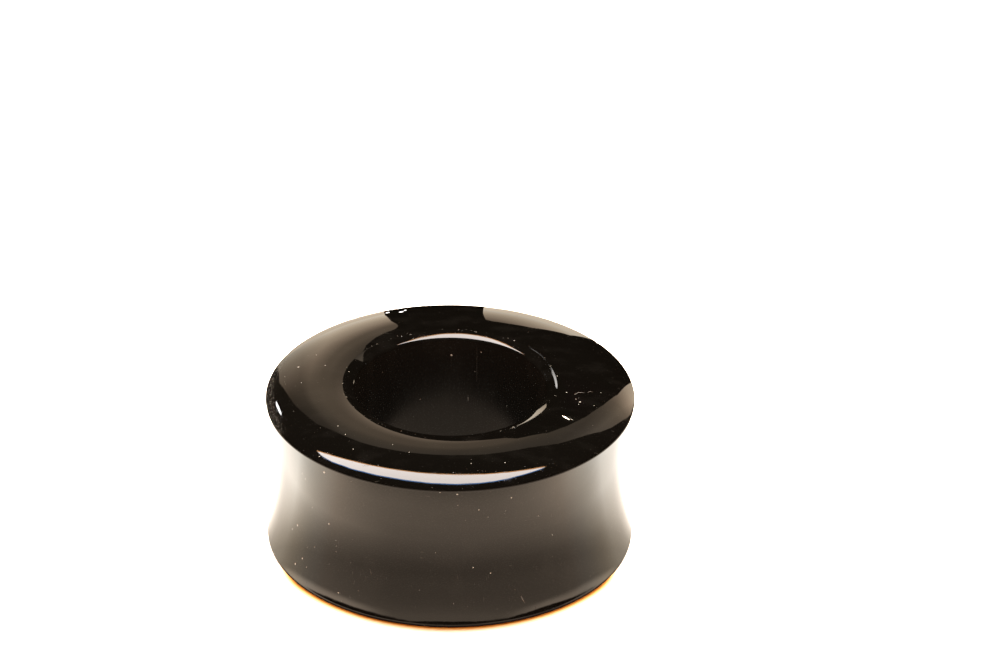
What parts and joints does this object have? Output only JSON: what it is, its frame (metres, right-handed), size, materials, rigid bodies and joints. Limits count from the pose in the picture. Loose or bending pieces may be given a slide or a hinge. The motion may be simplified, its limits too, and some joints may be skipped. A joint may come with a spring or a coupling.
{
  "type": "ear tunnel",
  "caption": "Polished black stone ear tunnel: a short round tube with a wide hole, a hollowed waist for the lobe and a flare at each end.",
  "frame": {"origin": "on the axis of the hole, in the plane of the lower face that the tunnel stands on", "axes": "+Z along the axis of the hole, up from the standing face to the other face; X and Y are any two directions across the round"},
  "size_m": [0.028, 0.028, 0.0142],
  "materials": {
    "black_stone": "polished"
  },
  "bodies": {
    "root": {"stone_tunnel": "black_stone"}
  },
  "joints": []
}
